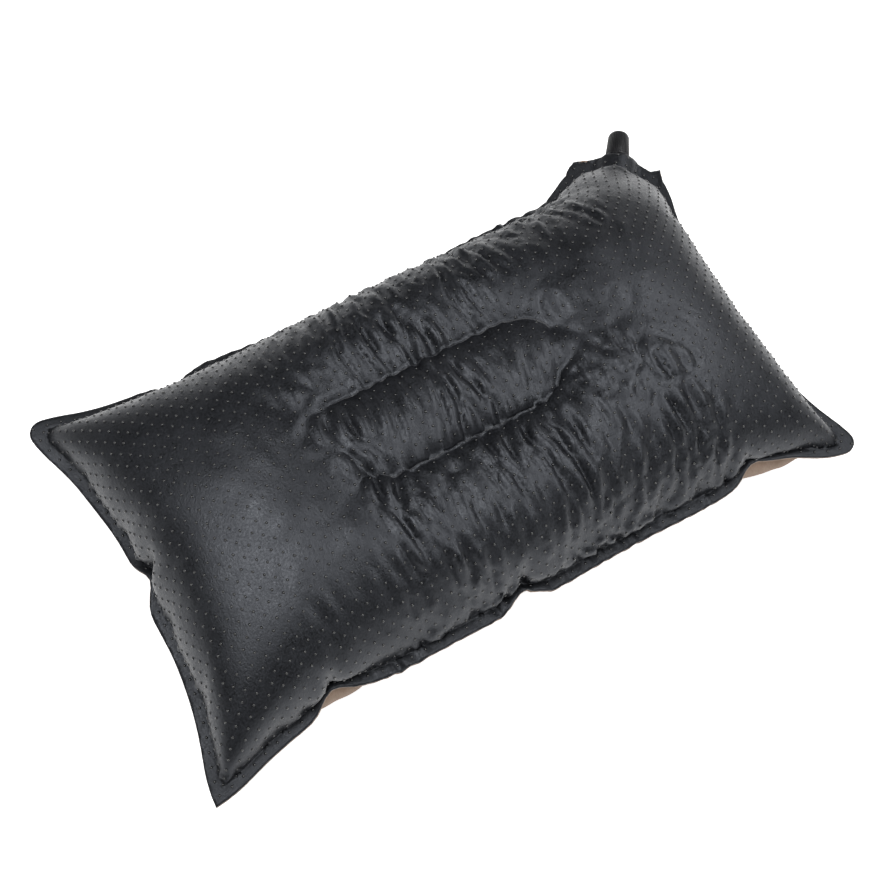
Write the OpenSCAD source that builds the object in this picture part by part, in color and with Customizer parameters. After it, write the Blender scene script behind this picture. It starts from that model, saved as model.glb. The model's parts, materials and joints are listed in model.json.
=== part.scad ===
// Self-inflating camp pillow, blown up and resting on its underside.
// The origin is under the middle of the pillow, X runs along it and the valve is at the +X +Y corner.

/* [Pillow] */
// Length from tip to tip, flange included
pillow_length = 472; // [300:1:600]
// Width from tip to tip, flange included
pillow_width = 276; // [220:1:400]
// Height from the flat underside to the crown
pillow_height = 108; // [80:1:150]
// How far each long edge pulls in at its middle
long_edge_bow = 11; // [0:1:20]
// How far each short edge pulls in at its middle
short_edge_bow = 16; // [0:1:24]
// Radius of the two rounded tips
tip_radius = 12; // [4:1:20]

/* [Covers] */
// Thickness of the coated fabric
cover_thickness = 1.2; // [0.6:0.1:2]
// Width of the welded edge
flange_width = 9; // [6:0.5:14]
// Depth of the hollow that the oval seam pulls into the top
seam_dip = 5; // [0:0.5:10]
// Half of the straight run of the oval seam
seam_half_run = 50; // [30:1:70]
// Radius of the oval seam's round ends
seam_radius = 31; // [20:1:45]

/* [Foam] */
// Share of the inner outline that the foam core fills
foam_reach = 0.93; // [0.8:0.01:0.95]
// Gap between the foam core and the covers
foam_gap = 0.3; // [0.2:0.1:1]

/* [Valve] */
// Angle of the valve axis from +X
valve_angle = 52; // [45:1:60]
// Inner radius of the air way through the neck
airway_radius = 3.2; // [2.5:0.1:3.4]
// Outer radius of the neck where the cap screws on
neck_radius = 6; // [5.6:0.1:6.4]
// Outer radius of the cap at its open end
cap_base_radius = 8.7; // [8.2:0.1:10]
// Outer radius of the cap at its closed end
cap_top_radius = 7.4; // [7.2:0.1:8]
// Length of the cap
cap_length = 20.5; // [20:0.5:24]
// Number of grip ribs round the cap
cap_ribs = 40; // [16:2:48]
// How far one full turn lifts the cap
cap_lift = 3; // [2:0.1:3]
// Gap between the cap and the neck
running_gap = 0.25; // [0.1:0.05:0.4]

/* [Hidden] */
$fn = 64;

half_length = pillow_length / 2;
half_width = pillow_width / 2;
weld_share = 0.48;
weld_height = weld_share * pillow_height;
crown_height = pillow_height - weld_height - cover_thickness;
rest_spread = 1.18;

// The outline is walked anticlockwise from the pointed front left tip.
edge_step = 20;
last_edge_point = edge_step / 2 - half_width;
tip_steps = 4;
valve_in_from_side = 14.8;
valve_in_from_back = 8.2;
valve_mid = [half_length - valve_in_from_side, half_width - valve_in_from_back];
valve_out = [cos(valve_angle), sin(valve_angle)];
valve_side = [sin(valve_angle), -cos(valve_angle)];
tab_right = 32;
tab_left = 33;
tab_step = 4;
tab_round = 0.0085;
tab_flange = 17;
weld_right_draw = 0.66;
tab_along_side = 41;
tab_along_back = 63;
right_edge_end = half_width - tab_along_side;
back_edge_start = half_length - tab_along_back;
heel_side = -tab_left - 5.5;
heel_out = -18;
weld_heel_side = -tab_left - 5;
weld_heel_out = -tab_flange - 13;

// The boat is a lens that lies between the two covers.
boat_half_width = 15;
boat_half_height = 7.4;
boat_arc = (pow(boat_half_width, 2) + pow(boat_half_height, 2)) / (2 * boat_half_height);
boat_back = -21;
boat_front = -2.5;
spout_radius = 7.2;
boat_bore = 5;
boat_reach_in = -60;
boat_reach_aside = boat_half_width + 1;
seat_gap = 0.1;
half_seat_gap = seat_gap / 2;
cut_over = 1;

// Stations along the valve axis, from the edge of the tab outwards.
collar_start = 0.2;
collar_end = 1.4;
collar_radius = 7.6;
tail_length = 2;
tail_start = boat_back - tail_length;
collar_gap = 0.3;
cap_start = collar_end + collar_gap;
thread_end = 7;
thread_depth = 0.8;
land_radius = neck_radius - thread_depth;
lip_gap = 0.4;
lip_width = 0.8;
seal_width = 1.6;
lip_start = thread_end + lip_gap;
lip_end = lip_start + lip_width;
lip_radius = land_radius + running_gap;
seal_end = lip_end + seal_width;
stop_gap = 0.2;
stop_ring_thickness = 1;
stop_ring_start = seal_end + cap_lift + stop_gap;
neck_end = stop_ring_start + stop_ring_thickness;
stop_ring_radius = neck_radius - seat_gap;
stop_groove_depth = 0.5;
stop_groove_radius = land_radius - stop_groove_depth;
cap_bore = neck_radius + running_gap;
cap_end = cap_start + cap_length;
cap_end_wall = 5.5;
chamber_end = cap_end - cap_end_wall;
mouth_radius = 2.9;
plug_radius = 2.6;
plug_stem_radius = 1.3;
plug_back = thread_end;
plug_foot_length = 2.5;
plug_short_of_wall = 0.5;
plug_front = chamber_end + cap_lift - plug_short_of_wall;
plug_head_length = 4;
plug_groove_depth = 0.5;
plug_groove_radius = plug_radius - plug_groove_depth;
plug_ring_thickness = 0.9;
plug_ring_back = 1.8;
plug_ring_start = plug_front - plug_ring_back;
spoke_width = 1;
spoke_reach = airway_radius - seat_gap;
neck_ring_thickness = 1.2;
neck_ring_start = collar_end + seat_gap;
neck_ring_end = neck_ring_start + neck_ring_thickness;
neck_groove_radius = neck_radius - thread_depth;
neck_ring_radius = neck_radius + seat_gap;
rib_height = 0.35;
rib_width = 0.6;
rib_inset = 1.5;
rib_short_of_round = 0.5;
cap_round = 1.6;
round_step = 15;
quarter_turn = 90;
cap_taper = atan((cap_base_radius - cap_top_radius) / cap_length);

profile_power = 3.2;
profile_round = 0.62;
corner_thin = 0.4;
ring_count = 13;
ring_crowd = 1.5;
bulge_start = 0.84;
seam_spread = 11;
seat_clearance = 0.6;

// Steps from one number to another, both ends included.
function steps(from, to, step) =
    let (count = max(1, ceil(abs(to - from) / step)))
    [for (i = [0 : count]) from + (to - from) * i / count];

function long_edge(x) = half_width - long_edge_bow * (1 - pow(x / half_length, 2));
function short_edge(y) = half_length - short_edge_bow * (1 - pow(y / half_width, 2));

function blend(a, corner, b, t) = a * pow(1 - t, 2) + corner * 2 * t * (1 - t) + b * pow(t, 2);
function tip_arc(a, corner, b) = [for (i = [1 : tip_steps - 1]) blend(a, corner, b, i / tip_steps)];

function tab_point(side, out) = valve_mid + valve_side * side + valve_out * out;

tip_x = half_length - tip_radius;
tip_y = half_width - tip_radius;
front_edge = [for (x = steps(-half_length, tip_x, edge_step)) [x, -long_edge(x)]];
right_tip = tip_arc([tip_x, -long_edge(tip_x)], [half_length, -half_width], [short_edge(tip_y), -tip_y]);
right_edge = [for (y = steps(-tip_y, right_edge_end, edge_step)) [short_edge(y), y]];
tab_sides = steps(tab_right, -tab_left, tab_step);
tab_edge = [for (q = tab_sides) tab_point(q, -tab_round * q * q)];
tab_heel = [tab_point(heel_side, heel_out)];
back_edge = [for (x = steps(back_edge_start, -tip_x, edge_step)) [x, long_edge(x)]];
left_tip = tip_arc([-tip_x, long_edge(tip_x)], [-half_length, half_width], [-short_edge(tip_y), tip_y]);
left_edge = [for (y = steps(tip_y, last_edge_point, edge_step)) [-short_edge(y), y]];

function inset(p) = [p.x * (1 - flange_width / half_length), p.y * (1 - flange_width / half_width)];
function inset_all(points) = [for (p = points) inset(p)];

flange_line = concat(front_edge, right_tip, right_edge, tab_edge, tab_heel, back_edge, left_tip, left_edge);
weld_line = concat(inset_all(front_edge), inset_all(right_tip), inset_all(right_edge),
    [for (q = tab_sides) tab_point(q * (q > 0 ? weld_right_draw : 1), -tab_flange - tab_round * q * q)],
    [tab_point(weld_heel_side, weld_heel_out)],
    inset_all(back_edge), inset_all(left_tip), inset_all(left_edge));

// How full the pillow is, from 0 at the weld line to 1 at the crown.
function fullness(reach, p) =
    pow(max(0, 1 - pow(reach, profile_power)), profile_round)
    * (1 - corner_thin * pow(p.x * p.y / (half_length * half_width), 2));

// Hollow along the oval seam.
function seam_hollow(p) =
    let (off = norm([max(abs(p.x) - seam_half_run, 0), p.y]) - seam_radius)
    seam_dip * exp(-pow(off / seam_spread, 2));

// Rise of the covers over the boat of the valve.
function boat_rise(p, reach) =
    let (q = (p - valve_mid) * valve_side, out = (p - valve_mid) * valve_out)
    let (rise = sqrt(max(0, pow(boat_arc, 2) - q * q)) - boat_arc + boat_half_height + seat_clearance)
    (abs(q) < boat_reach_aside && out > boat_reach_in && rise > 0)
        ? rise * max(0, (reach - bulge_start) / (1 - bulge_start)) : 0;

function reach_at(i) = 1 - pow(1 - i / ring_count, ring_crowd);

function top_inside(p, reach) =
    weld_height + crown_height * fullness(reach, p) - seam_hollow(p) * (1 - pow(reach, 4))
    + boat_rise(p, reach);
function bottom_inside(p, reach) =
    weld_height - (weld_height - cover_thickness) * min(1, rest_spread * fullness(reach, p))
    - boat_rise(p, reach);

// One ring of the shell at a share of the way out, with its height shifted.
function ring(reach, upper, shift) = [for (p = weld_line * reach)
    [p.x, p.y, (upper ? top_inside(p, reach) : bottom_inside(p, reach)) + shift]];
function flange_ring(upper, shift) = [for (p = flange_line)
    [p.x, p.y, weld_height + (upper ? 1 : -1) * boat_rise(p, 1) + shift]];

// Closed skin over a list of rings that run from one middle point to another. The way back splits
// its quads the other way round, so that two skins over the same rings have the same creases.
module skin(first, rings, last) {
    count = len(rings[0]);
    turn_back = len(rings) / 2;
    points = concat([first], [for (r = rings) each r], [last]);
    end = len(points) - 1;
    first_fan = [for (i = [0 : count - 1]) [0, 1 + i, 1 + (i + 1) % count]];
    walls = [for (k = [0 : len(rings) - 2], i = [0 : count - 1])
        let (a = 1 + k * count + i, b = 1 + k * count + (i + 1) % count)
        each k < turn_back ? [[a, a + count, b], [b, a + count, b + count]]
            : [[a, a + count, b + count], [a, b + count, b]]];
    last_fan = [for (i = [0 : count - 1]) [end, end - count + (i + 1) % count, end - count + i]];
    polyhedron(points, concat(first_fan, walls, last_fan), convexity = 6);
}

module cover(upper) {
    outward = upper ? cover_thickness : -cover_thickness;
    middle = upper ? top_inside([0, 0], 0) : bottom_inside([0, 0], 0);
    outer = [for (i = [1 : ring_count]) ring(reach_at(i), upper, outward)];
    edge = [flange_ring(upper, outward), flange_ring(upper, 0)];
    inner = [for (i = [ring_count : -1 : 1]) ring(reach_at(i), upper, 0)];
    path = concat(outer, edge, inner);
    if (upper)
        skin([0, 0, middle + outward], path, [0, 0, middle]);
    else
        skin([0, 0, middle], reversed(path), [0, 0, middle + outward]);
}
function reversed(list) = [for (i = [len(list) - 1 : -1 : 0]) list[i]];

module top_cover() {
    color("#2b2c2f") cover(true);
}

module bottom_cover() {
    color("#b39a86") cover(false);
}

module foam_core() {
    last_ring = max([for (i = [1 : ring_count]) reach_at(i) < foam_reach ? i : 0]);
    upper = [for (i = [1 : last_ring]) ring(reach_at(i), true, -foam_gap)];
    lower = [for (i = [last_ring : -1 : 1]) ring(reach_at(i), false, foam_gap)];
    color("#d8cba0") skin([0, 0, top_inside([0, 0], 0) - foam_gap], concat(upper, lower),
        [0, 0, bottom_inside([0, 0], 0) + foam_gap]);
}

// Puts its children on the valve axis with their own Z pointing out of the pillow.
module on_valve_axis() {
    translate([valve_mid.x, valve_mid.y, weld_height]) rotate([0, 90, valve_angle]) children();
}

// Round tube between two stations of the valve axis.
module tube(from, to, outer, inner) {
    difference() {
        translate([0, 0, from]) cylinder(h = to - from, r = outer);
        translate([0, 0, from - cut_over]) cylinder(h = to - from + 2 * cut_over, r = inner);
    }
}

module valve_boat() {
    lens_shift = boat_arc - boat_half_height;
    boat_length = boat_front - boat_back;
    color("#1d1d1f") on_valve_axis() difference() {
        union() {
            intersection() {
                translate([lens_shift, 0, boat_back]) cylinder(h = boat_length, r = boat_arc);
                translate([-lens_shift, 0, boat_back]) cylinder(h = boat_length, r = boat_arc);
            }
            translate([0, 0, boat_back]) cylinder(h = -boat_back, r = spout_radius);
        }
        translate([0, 0, boat_back - cut_over]) cylinder(h = 2 * cut_over - boat_back, r = boat_bore);
    }
}

module valve_neck() {
    color("#232326") on_valve_axis() rotate_extrude() polygon([
        [airway_radius, tail_start],
        [boat_bore - seat_gap, tail_start],
        [boat_bore - seat_gap, collar_start],
        [collar_radius, collar_start],
        [collar_radius, collar_end],
        [neck_groove_radius, collar_end],
        [neck_groove_radius, neck_ring_end + seat_gap],
        [neck_radius, neck_ring_end + seat_gap],
        [neck_radius, thread_end],
        [land_radius, thread_end],
        [land_radius, stop_ring_start - half_seat_gap],
        [stop_groove_radius, stop_ring_start - half_seat_gap],
        [stop_groove_radius, neck_end],
        [airway_radius, neck_end]]);
}

module neck_ring() {
    color("#111112") on_valve_axis() tube(neck_ring_start, neck_ring_end,
        neck_ring_radius, neck_groove_radius + seat_gap);
}

module stop_ring() {
    color("#2a2a2d") on_valve_axis() tube(stop_ring_start, neck_end, stop_ring_radius,
        stop_groove_radius + half_seat_gap);
}

module valve_plug() {
    color("#232326") on_valve_axis() {
        difference() {
            union() {
                translate([0, 0, plug_back]) cylinder(h = plug_front - plug_back, r = plug_stem_radius);
                translate([0, 0, plug_front - plug_head_length])
                    cylinder(h = plug_head_length, r = plug_radius);
                for (turn = [0, quarter_turn])
                    rotate(turn) translate([-spoke_reach, -spoke_width / 2, plug_back])
                        cube([2 * spoke_reach, spoke_width, plug_foot_length]);
            }
            tube(plug_ring_start - seat_gap, plug_ring_start + plug_ring_thickness + seat_gap,
                plug_radius + cut_over, plug_groove_radius);
        }
    }
}

module plug_ring() {
    color("#111112") on_valve_axis() tube(plug_ring_start, plug_ring_start + plug_ring_thickness,
        mouth_radius - seat_gap, plug_groove_radius + half_seat_gap);
}

module cap_seal() {
    color("#111112") on_valve_axis() tube(lip_end + seat_gap, seal_end,
        cap_bore - seat_gap, land_radius + seat_gap);
}

module valve_cap() {
    body_base = cap_base_radius - rib_height;
    body_top = cap_top_radius - rib_height;
    rib_length = cap_length - rib_inset - cap_round - rib_short_of_round;
    color("#1f1f22") on_valve_axis() {
        rotate_extrude() polygon(concat([
            [cap_bore, cap_start],
            [body_base, cap_start]],
            [for (a = [0 : round_step : quarter_turn])
                [body_top - cap_round * (1 - cos(a)), cap_end - cap_round * (1 - sin(a))]],
            [[mouth_radius, cap_end],
            [mouth_radius, chamber_end],
            [cap_bore, chamber_end],
            [cap_bore, lip_end],
            [lip_radius, lip_end],
            [lip_radius, lip_start],
            [cap_bore, lip_start]]));
        for (i = [0 : cap_ribs - 1])
            rotate(360 * i / cap_ribs) translate([body_base - rib_height, -rib_width / 2, cap_start + rib_inset])
                rotate([0, -cap_taper, 0])
                    cube([2 * rib_height, rib_width, rib_length]);
    }
}

top_cover();
bottom_cover();
foam_core();
valve_boat();
valve_neck();
neck_ring();
stop_ring();
valve_plug();
plug_ring();
cap_seal();
valve_cap();
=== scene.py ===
import json
import math
import random
import bpy
import bmesh
import numpy as np
from mathutils import Matrix, Vector
from mathutils.bvhtree import BVHTree
from mathutils.geometry import delaunay_2d_cdt


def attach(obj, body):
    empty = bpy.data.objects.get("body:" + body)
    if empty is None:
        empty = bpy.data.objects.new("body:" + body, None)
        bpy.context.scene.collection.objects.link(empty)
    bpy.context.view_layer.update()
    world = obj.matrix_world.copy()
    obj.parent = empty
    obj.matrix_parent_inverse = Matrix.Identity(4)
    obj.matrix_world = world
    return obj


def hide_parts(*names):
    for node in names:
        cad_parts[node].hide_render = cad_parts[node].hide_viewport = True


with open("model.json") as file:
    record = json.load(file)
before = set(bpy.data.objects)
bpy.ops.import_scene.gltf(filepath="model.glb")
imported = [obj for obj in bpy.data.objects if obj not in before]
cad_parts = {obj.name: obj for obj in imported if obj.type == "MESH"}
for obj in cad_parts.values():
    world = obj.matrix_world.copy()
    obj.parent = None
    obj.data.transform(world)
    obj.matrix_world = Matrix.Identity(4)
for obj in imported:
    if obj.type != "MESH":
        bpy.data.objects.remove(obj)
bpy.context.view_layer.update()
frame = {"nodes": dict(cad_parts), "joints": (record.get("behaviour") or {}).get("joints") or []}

# the flat cut of the two covers, in metres, with its centre at the origin
cut = {
    "length": 0.500,
    "width": 0.300,
    "flange": 0.010,      # width of the welded edge
    "roundTip": 0.013,    # radius of the two round corners
    "tighter": 0.004,     # how much less the weld line's radius is there
    "spacing": 0.005,     # size of a triangle before the fine pass
    "rowStep": 0.866,     # from one row of points to the next, as a share of that
    "jitter": 0.1,        # how far a point strays from its grid, as a share of that
    "clear": 0.55,        # bare strip beside the lines, as a share of that
    "onLine": 1e-4,       # a point this near to a pressed line lies on it
    "seed": 7,
}


def arc(cx, cy, r, start, end, count):
    turns = [math.radians(start + (end - start) * i / count) for i in range(count + 1)]
    return [(cx + r * math.cos(t), cy + r * math.sin(t)) for t in turns]


def curve(a, corner, b, count):
    # a quadratic curve from a to b that leaves and arrives towards the corner
    steps = [i / count for i in range(count + 1)]
    return [tuple(a[k] * (1 - t) ** 2 + 2 * corner[k] * t * (1 - t) + b[k] * t * t for k in (0, 1))
            for t in steps]


def spaced(line, step, closed=True):
    out = []
    for i in range(len(line) if closed else len(line) - 1):
        a, b = Vector(line[i]), Vector(line[(i + 1) % len(line)])
        count = max(1, round((b - a).length / step))
        out += [tuple(a.lerp(b, j / count)) for j in range(count)]
    return out if closed else out + [tuple(line[-1])]


def outerLine():
    x, y, r = cut["length"] / 2, cut["width"] / 2, cut["roundTip"]
    return ([(-x, -y)] + arc(x - r, r - y, r, -90, 0, 6)
            + [(x, 0.108), (0.2533, 0.1180), (0.2462, 0.1205)]
            + curve((0.2420, 0.1300), (0.2370, 0.1385), (0.2256, 0.1450), 4)
            + curve((0.2050, 0.1545), (0.1960, 0.1560), (0.1900, 0.1500), 4)
            + arc(r - x, y - r, r, 90, 180, 6))


def weldLine():
    inset = cut["flange"]
    x, y = cut["length"] / 2 - inset, cut["width"] / 2 - inset
    r = cut["roundTip"] - cut["tighter"]
    return ([(-x, -y)] + arc(x - r, r - y, r, -90, 0, 6)
            + curve((x, 0.098), (0.2370, 0.1110), (0.2207, 0.1274), 6)[:-1]
            + curve((0.2207, 0.1274), (0.2080, 0.1385), (0.1900, y), 6)
            + arc(r - x, y - r, r, 90, 180, 6))


# the oval seam is two pressed lines that leave a gap at each end
seamLines = [
    [(-0.073, 0.031)] + curve((0.042, 0.031), (0.071, 0.031), (0.077, 0.011), 6),
    curve((-0.073, -0.021), (-0.066, -0.031), (-0.046, -0.031), 4)
    + curve((0.040, -0.031), (0.060, -0.031), (0.067, -0.016), 5),
]


def insideLine(p, line):
    x, y = p
    odd = False
    for (x1, y1), (x2, y2) in zip(line, line[1:] + line[:1]):
        if (y1 > y) != (y2 > y) and x < (x2 - x1) * (y - y1) / (y2 - y1) + x1:
            odd = not odd
    return odd


def cutSheet():
    # triangles over the flat cut, each inside or outside the weld line
    step, rowStep, jitter = cut["spacing"], cut["rowStep"], cut["jitter"]
    dice = random.Random(cut["seed"])
    outer, weld = outerLine(), weldLine()
    points, edges = [], []
    for line, closed in [(outer, True), (weld, True)] + [(s, False) for s in seamLines]:
        line = spaced(line, step, closed)
        first = len(points)
        points += line
        count = len(line) if closed else len(line) - 1
        edges += [(first + i, first + (i + 1) % len(line)) for i in range(count)]
    fixed = np.array(points)
    rows = int(cut["width"] / (step * rowStep)) + 4
    for j in range(rows):
        for i in range(int(cut["length"] / step) + 3):
            x = -cut["length"] / 2 + (i - 1 + 0.5 * (j % 2)) * step + dice.uniform(-jitter, jitter) * step
            y = -cut["width"] / 2 + (j - 1) * step * rowStep + dice.uniform(-jitter, jitter) * step
            nearest = np.min(np.sum((fixed - (x, y)) ** 2, 1))
            if insideLine((x, y), outer) and nearest > (cut["clear"] * step) ** 2:
                points.append((x, y))
    flat, edges, tris = delaunay_2d_cdt([Vector(p) for p in points], edges, [], 0, 1e-7)[:3]
    flat = np.array([tuple(p) for p in flat])
    middle = [flat[list(t)].mean(0) for t in tris]
    keep = [k for k, m in enumerate(middle) if insideLine(m, outer)]
    tris = np.array([tris[k] for k in keep])
    airy = np.array([insideLine(middle[k], weld) for k in keep])
    return flat, tris, airy


def finer(flat, tris, airy, layers):
    # splits each triangle in four, and carries each layer of places with it
    edges = np.sort(np.concatenate([tris[:, [0, 1]], tris[:, [1, 2]], tris[:, [2, 0]]]), 1)
    pairs, where = np.unique(edges, axis=0, return_inverse=True)
    where = where.reshape(-1) + len(flat)
    count = len(tris)
    a, b, c = tris.T
    ab, bc, ca = where[:count], where[count:2 * count], where[2 * count:]
    tris = np.concatenate([np.stack(t, 1) for t in ((a, ab, ca), (b, bc, ab), (c, ca, bc), (ab, bc, ca))])
    return (np.concatenate([flat, flat[pairs].mean(1)]), tris, np.tile(airy, 4),
            [np.concatenate([layer, layer[pairs].mean(1)]) for layer in layers])


def twoSheets(flat, tris, airy):
    # one closed mesh: the sheets share the points of the flange and part inside the weld line
    shared = np.zeros(len(flat), bool)
    shared[tris[~airy].reshape(-1)] = True
    under = np.arange(len(flat))
    free = np.flatnonzero(~shared)
    under[free] = len(flat) + np.arange(len(free))
    faces = np.concatenate([tris, under[tris[airy]][:, ::-1]])
    return faces, under, free, shared


def bothFlat(flat, free):
    # the places of both sheets, still flat
    rest = np.concatenate([flat, flat[free]])
    return np.column_stack([rest, np.zeros(len(rest))])


def freeShare(rest, shared):
    # 1 for a point that is free to move, 0 for one in the weld
    share = np.ones(len(rest))
    share[:len(shared)][shared] = 0
    return share



def distanceToSeam(flat):
    # how far each point lies from the nearest pressed line
    best = np.full(len(flat), 1.0)
    for line in seamLines:
        for a, b in zip(np.array(line[:-1]), np.array(line[1:])):
            along = np.clip(((flat - a) @ (b - a)) / ((b - a) @ (b - a)), 0, 1)
            best = np.minimum(best, np.linalg.norm(flat - a - along[:, None] * (b - a), axis=1))
    return best


# blowing up
air = {
    "volume": 0.0094,      # cubic metres held when full
    "frames": 30,
    "push": 0.015,
    "firmness": 1500,
    "dome": 0.030,         # height of the shape that the blowing up starts from
    "domeEdge": 0.7,       # lower is steeper at its edge
    "apart": 0.001,        # how far apart the sheets start
    "fold": 0.0006,        # height of the ripples that the folds grow from
    "foldWidth": 0.022,
    "foldLength": 0.08,
    "foldSeed": 5,
    "shake": 0.0002,
    "ties": 0.0022,        # pull of the foam on the oval seam
    "body": 0.04,          # pull of the foam elsewhere, as a share of that
    "edgeBend": 0.5,       # the weld bends less readily than the fabric
    "edgeSquash": 1,
    "ironReach": 0.022,
    "pinchReach": 0.012,
}

# the fine pass after it
fine = {
    "frames": 16,
    "push": 0.004,
    "crease": 0.0016,      # height of the ripples that the creases grow from
    "creaseWidth": 0.010,
    "creaseLength": 0.09,
    "creaseSeed": 11,
    "shake": 0.00005,
    "slack": 0.14,         # spare length that the middle of the fabric gathers up
    "reach": 0.15,         # half the length of that middle
    "mass": 0.002,
    "squash": 12,
    "bend": 0.0005,
}

ripple = {
    "waves": 7,
    "widths": (0.7, 1.6),      # as shares of the width asked for
    "lengths": (0.7, 1.5),
    "sway": 0.35,              # how far a wave wanders sideways, in wave lengths
    "fadeShares": (2.3, 9),    # how slowly a wave comes and goes, along and across
    "divide": 2.5,             # brings the sum of the waves back to about 1
    "ends": (0.19, 0.12),      # from nothing to full height along X
}

# where the edge folds in: the place in the flat cut, the way in, the lift and how far it is drawn in
pinches = [
    ((-0.150, -0.150), (0, 1), 0.004, 0.007),
    ((-0.012, -0.150), (0, 1), 0.005, 0.008),
    ((0.167, -0.150), (0, 1), 0.004, 0.007),
    ((-0.250, 0.006), (1, 0), 0.005, 0.008),
    ((0.250, -0.009), (-1, 0), 0.004, 0.006),
    ((0.050, 0.150), (0, -1), 0.003, 0.005),
    ((-0.144, 0.150), (0, -1), -0.003, 0.005),
]


def runCloth(name, rest, start, faces, settings, groups, frames):
    # runs the cloth solver from start towards rest and gives the last places
    mesh = bpy.data.meshes.new(name)
    mesh.from_pydata(rest.tolist(), [], faces.tolist())
    mesh.update()
    piece = bpy.data.objects.new(name, mesh)
    scene = bpy.context.scene
    scene.collection.objects.link(piece)
    piece.shape_key_add(name="flat")
    key = piece.shape_key_add(name="start")
    key.data.foreach_set("co", start.reshape(-1))
    key.value = 1
    cloth = piece.modifiers.new("cloth", "CLOTH")
    cloth.settings.rest_shape_key = piece.data.shape_keys.key_blocks["flat"]
    for group, weights in groups.items():
        made = piece.vertex_groups.new(name=group)
        for weight in np.unique(weights[weights > 0]):
            made.add(np.flatnonzero(weights == weight).tolist(), float(weight), "REPLACE")
        setattr(cloth.settings, "vertex_group_" + group, group)
    for setting, value in settings.items():
        setattr(cloth.settings, setting, value)
    cloth.settings.effector_weights.gravity = 0
    cloth.collision_settings.use_self_collision = False
    cloth.collision_settings.use_collision = False
    cloth.point_cache.frame_end = frames
    scene.frame_start, scene.frame_end = 1, frames
    for step in range(1, frames + 1):
        scene.frame_set(step)
    done = piece.evaluated_get(bpy.context.evaluated_depsgraph_get()).to_mesh()
    places = np.empty(len(done.vertices) * 3)
    done.vertices.foreach_get("co", places)
    bpy.data.objects.remove(piece)
    bpy.data.meshes.remove(mesh)
    scene.frame_set(1)
    return places.reshape(-1, 3)


fabric = {
    "quality": 6, "air_damping": 1.0,
    "tension_stiffness": 15, "compression_stiffness": 15, "shear_stiffness": 8,
    "tension_damping": 1, "compression_damping": 1, "shear_damping": 1, "bending_damping": 0,
    "use_pressure": True, "use_pressure_volume": True, "target_volume": air["volume"],
    "uniform_pressure_force": air["push"], "pressure_factor": air["firmness"],
}


def smooth(low, high, value):
    t = np.clip((value - low) / (high - low), 0, 1)
    return t * t * (3 - 2 * t)


def ripples(flat, across, along, seed):
    # soft ripples that run along Y, across and along in metres
    dice = np.random.default_rng(seed)
    x, y = flat.T
    slowY, slowX = ripple["fadeShares"]
    height = np.zeros(len(flat))
    for k in range(ripple["waves"]):
        width = across * dice.uniform(*ripple["widths"])
        sway = y / (along * dice.uniform(*ripple["lengths"])) + dice.uniform()
        bend = ripple["sway"] * np.sin(2 * math.pi * sway)
        fade = 0.5 + 0.5 * np.cos(2 * math.pi * (y / (slowY * along) + x / (slowX * across) + dice.uniform()))
        height += fade * np.cos(2 * math.pi * (x / width + bend + dice.uniform()))
    return height / ripple["divide"] * smooth(*ripple["ends"], np.abs(x))


def blowUp(flat, tris, airy):
    faces, under, free, shared = twoSheets(flat, tris, airy)
    dice = np.random.default_rng(cut["seed"])
    rest = bothFlat(flat, free)
    start = rest.copy()
    lengthwise = np.cos(math.pi * rest[:, 0] / cut["length"]).clip(0)
    crosswise = np.cos(math.pi * rest[:, 1] / cut["width"]).clip(0)
    dome = air["dome"] * (lengthwise * crosswise) ** air["domeEdge"]
    side = np.zeros(len(rest))
    side[:len(flat)][~shared] = 1
    side[len(flat):] = -1
    folding = air["fold"] * ripples(rest[:, :2], air["foldWidth"], air["foldLength"], air["foldSeed"])
    start[:, 2] = side * (dome + air["apart"] + folding)
    start[:, 2] += dice.uniform(-air["shake"], air["shake"], len(rest))
    ties = np.where(distanceToSeam(rest[:, :2]) < cut["onLine"], 1.0, air["body"])
    ties[:len(flat)][shared] = 0
    soft = freeShare(rest, shared)
    settings = dict(fabric, mass=0.002, bending_stiffness=0.001, bending_stiffness_max=air["edgeBend"],
                    compression_stiffness=air["edgeSquash"], compression_stiffness_max=15,
                    tension_stiffness_max=15, use_internal_springs=True,
                    internal_spring_max_length=0.1, internal_spring_max_diversion=0.3,
                    internal_tension_stiffness=1e-6, internal_tension_stiffness_max=air["ties"],
                    internal_compression_stiffness=0)
    groups = {"pressure": soft, "intern": ties, "bending": 1 - soft, "structural_stiffness": soft}
    places = runCloth("blow", rest, start, faces, settings, groups, air["frames"])
    return places, under


def ironEdge(flat, tris, airy, places):
    # smooths the welded edge along its run, then folds it in at the pinches
    _, _, free, shared = twoSheets(flat, tris, airy)
    rest = bothFlat(flat, free)
    edge = np.flatnonzero(shared)
    apart = np.linalg.norm(flat[edge][:, None] - flat[edge][None], axis=2)
    near = np.exp(-(apart / air["ironReach"]) ** 2)
    shift = (places - rest)[edge]
    places = places.copy()
    places[edge] = rest[edge] + near @ shift / near.sum(1)[:, None]
    for place, inward, lift, draw in pinches:
        pull = np.exp(-(np.linalg.norm(rest[:, :2] - place, axis=1) / air["pinchReach"]) ** 2)
        places[:, :2] += np.outer(pull * draw, inward)
        places[:, 2] += pull * lift
    return places


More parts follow.
